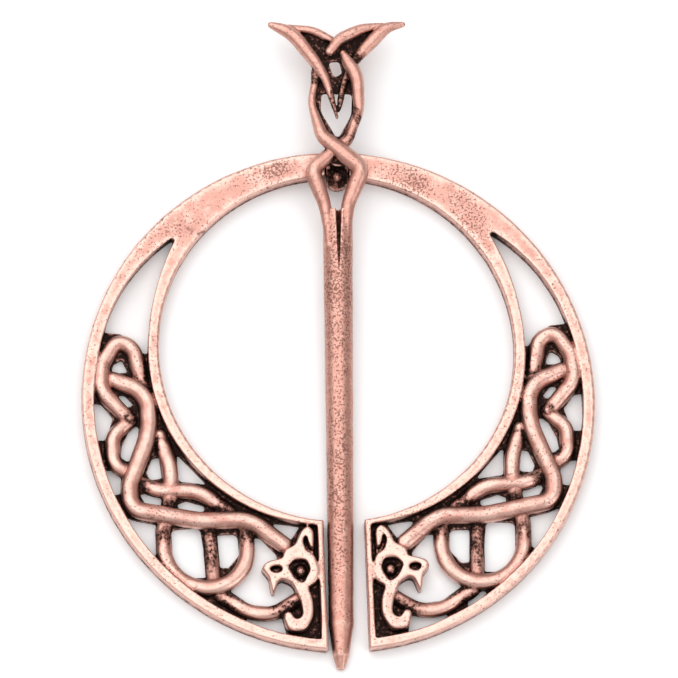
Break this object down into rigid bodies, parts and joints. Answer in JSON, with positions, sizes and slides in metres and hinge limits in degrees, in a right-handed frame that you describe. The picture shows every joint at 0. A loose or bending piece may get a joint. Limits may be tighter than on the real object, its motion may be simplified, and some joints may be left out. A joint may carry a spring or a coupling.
{
  "type": "cloak clasp",
  "caption": "Open ring cloak clasp of cast metal, pierced interlace and beast heads at its gap, with a long tapering pin that has a crossed, winged head and tilts on a bar at the ring's top.",
  "frame": {"origin": "middle of the clasp's footprint, on the flat back that it lies on", "axes": "+Z out of the clasp's face, +Y along the pin from its point to its winged head, +X to the right as seen from the front"},
  "size_m": [0.0636, 0.082, 0.0058],
  "materials": {
    "ring_metal": "antique copper plating over cast metal, dark in the hollows",
    "pin_metal": "antique copper plating over cast metal, worn bright on the high edges"
  },
  "bodies": {
    "ring": {"ring": "ring_metal"},
    "pin": {"pin": "pin_metal"}
  },
  "joints": [
    {"name": "pin_hinge", "type": "hinge", "parent": "ring", "child": "pin", "pos_m": [0, 0.0231, 0.00155], "axis": [-1, 0, 0], "range_deg": [-30, 120]}
  ]
}
